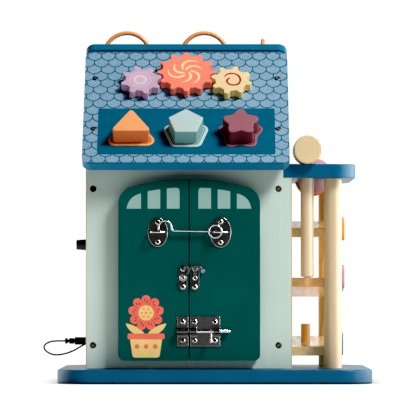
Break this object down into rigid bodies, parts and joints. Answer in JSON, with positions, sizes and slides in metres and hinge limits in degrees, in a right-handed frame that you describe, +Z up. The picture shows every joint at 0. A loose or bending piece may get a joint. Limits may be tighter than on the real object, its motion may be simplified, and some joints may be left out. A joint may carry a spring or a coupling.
{
  "type": "activity house",
  "caption": "Wooden activity house with hinged doors and practice latches, meshing roof gears, lift-out shape blocks, bead arches and a pounding ball tower with a mallet.",
  "frame": {"origin": "on the surface it stands on, under the middle of the base board", "axes": "+Z up, the doors face -Y, the ball tower is on the +X side"},
  "size_m": [0.4212, 0.312, 0.4591],
  "materials": {
    "blue_paint": "satin paint over board",
    "mint_paint": "satin paint over board",
    "roof_print": "printed scales over paint",
    "green_paint": "printed satin paint",
    "orange_paint": "satin paint",
    "plum_paint": "satin paint",
    "mauve_paint": "satin paint",
    "coral_paint": "printed satin paint",
    "yellow_paint": "printed satin paint",
    "natural_wood": "clear lacquer",
    "stained_wood": "clear lacquer",
    "black_screw": "black coating",
    "orange_wire": "gloss coating",
    "dark_nickel": "dark nickel plating",
    "bright_steel": "bright plating",
    "hinge_steel": "zinc plating",
    "black_plastic": "fine moulded texture",
    "lens_plastic": "milky",
    "lead_rubber": "soft matt"
  },
  "bodies": {
    "house": {"base_board": "blue_paint", "front_panel": "mint_paint", "left_wall": "mint_paint", "right_wall": "mint_paint", "back_panel": "mint_paint", "roof_front": "roof_print", "roof_back": "blue_paint", "panel_screws": "black_screw", "triangle_rim": "orange_paint", "pentagon_rim": "mint_paint", "star_rim": "plum_paint", "gear_pins": "hinge_steel", "tower_plate": "blue_paint", "front_post": "natural_wood", "rear_post": "natural_wood", "upper_ramp": "natural_wood", "middle_ramp": "natural_wood", "lower_ramp": "natural_wood", "upper_rail": "orange_paint", "middle_rail": "mauve_paint", "lower_rail": "blue_paint", "ball_stop": "stained_wood", "arch_wires": "orange_wire", "hinge_frame_leaves": "hinge_steel", "hinge_pins": "hinge_steel", "lamp_lens": "lens_plastic", "switch_body": "black_plastic", "jack_socket": "black_plastic", "battery_box": "black_plastic", "jack_plug": "black_plastic", "plug_lead": "lead_rubber"},
    "left_door": {"left_door": "green_paint", "left_hinge_leaves": "hinge_steel", "hook_catch": "dark_nickel", "latch_catch": "dark_nickel", "bolt_keeper": "dark_nickel", "left_door_screws": "bright_steel"},
    "right_door": {"right_door": "green_paint", "right_hinge_leaves": "hinge_steel", "hook_plate": "dark_nickel", "latch_plate": "dark_nickel", "bolt_plate": "dark_nickel", "right_door_screws": "bright_steel"},
    "mallet": {"mallet_head": "natural_wood", "mallet_handle": "natural_wood"},
    "cabin_hook": {"cabin_hook": "bright_steel"},
    "latch_arm": {"latch_arm": "bright_steel"},
    "barrel_bolt": {"barrel_bolt": "bright_steel"},
    "gear_left": {"gear_left": "mauve_paint"},
    "gear_middle": {"gear_middle": "coral_paint"},
    "gear_right": {"gear_right": "yellow_paint"},
    "triangle_block": {"triangle_block": "orange_paint"},
    "pentagon_block": {"pentagon_block": "mint_paint"},
    "star_block": {"star_block": "plum_paint"},
    "ball_mauve": {"ball_mauve": "mauve_paint"},
    "ball_orange": {"ball_orange": "orange_paint"},
    "switch_knob": {"switch_knob": "black_plastic"},
    "bead_left": {"bead_left": "yellow_paint"},
    "bead_middle": {"bead_middle": "mint_paint"},
    "bead_right": {"bead_right": "plum_paint"}
  },
  "joints": [
    {"name": "right_door_hinge", "type": "hinge", "parent": "house", "child": "right_door", "pos_m": [0.0547, -0.117, 0.131], "axis": [0, 0, 1], "range_deg": [0, 90]},
    {"name": "left_door_hinge", "type": "hinge", "parent": "house", "child": "left_door", "pos_m": [-0.1197, -0.117, 0.131], "axis": [0, 0, -1], "range_deg": [0, 90]},
    {"name": "hook_pivot", "type": "hinge", "parent": "right_door", "child": "cabin_hook", "pos_m": [0.0005, -0.134, 0.1926], "axis": [0, 1, 0], "range_deg": [-5, 110]},
    {"name": "latch_pivot", "type": "hinge", "parent": "right_door", "child": "latch_arm", "pos_m": [-0.0252, -0.1327, 0.1337], "axis": [0, -1, 0], "range_deg": [-40, 40]},
    {"name": "bolt_slide", "type": "slide", "parent": "right_door", "child": "barrel_bolt", "axis": [-1, 0, 0], "range_m": [0, 0.0155]},
    {"name": "gear_middle_spin", "type": "hinge", "parent": "house", "child": "gear_middle", "pos_m": [-0.0368, -0.0346, 0.39232], "axis": [0, -0.7193, 0.6947], "continuous": true},
    {"name": "gear_left_spin", "type": "hinge", "parent": "house", "child": "gear_left", "pos_m": [-0.09476, -0.04539, 0.38115], "axis": [0, -0.7193, 0.6947], "continuous": true},
    {"name": "gear_right_spin", "type": "hinge", "parent": "house", "child": "gear_right", "pos_m": [0.02116, -0.04539, 0.38115], "axis": [0, -0.7193, 0.6947], "continuous": true},
    {"name": "triangle_lift", "type": "slide", "parent": "house", "child": "triangle_block", "axis": [0, -0.7193, 0.6947], "range_m": [0, 0.04]},
    {"name": "pentagon_lift", "type": "slide", "parent": "house", "child": "pentagon_block", "axis": [0, -0.7193, 0.6947], "range_m": [0, 0.04]},
    {"name": "star_lift", "type": "slide", "parent": "house", "child": "star_block", "axis": [0, -0.7193, 0.6947], "range_m": [0, 0.04]},
    {"name": "mallet_lift", "type": "slide", "parent": "house", "child": "mallet", "axis": [0, 0, 1], "range_m": [0, 0.15]},
    {"name": "mauve_ball_drop", "type": "slide", "parent": "house", "child": "ball_mauve", "axis": [0, 0, -1], "range_m": [0, 0.041]},
    {"name": "orange_ball_drop", "type": "slide", "parent": "house", "child": "ball_orange", "axis": [0, 0, -1], "range_m": [0, 0.033]},
    {"name": "switch_turn", "type": "hinge", "parent": "house", "child": "switch_knob", "pos_m": [-0.1606, -0.03, 0.177], "axis": [-1, 0, 0], "range_deg": [-135, 135]},
    {"name": "bead_left_ride", "type": "hinge", "parent": "house", "child": "bead_left", "pos_m": [-0.1151, 0.037, 0.4259], "axis": [0, 1, 0], "range_deg": [0, 180]},
    {"name": "bead_middle_ride", "type": "hinge", "parent": "house", "child": "bead_middle", "pos_m": [-0.0134, 0.037, 0.4259], "axis": [0, -1, 0], "range_deg": [0, 180]},
    {"name": "bead_right_ride", "type": "hinge", "parent": "house", "child": "bead_right", "pos_m": [0.0637, 0.061, 0.4233], "axis": [-1, 0, 0], "range_deg": [0, 165]}
  ],
  "couplings": [
    {"joint": "left_door_hinge", "follows": "right_door_hinge", "ratio": 1},
    {"joint": "gear_left_spin", "follows": "gear_middle_spin", "ratio": -1.5},
    {"joint": "gear_right_spin", "follows": "gear_middle_spin", "ratio": -1.5}
  ]
}
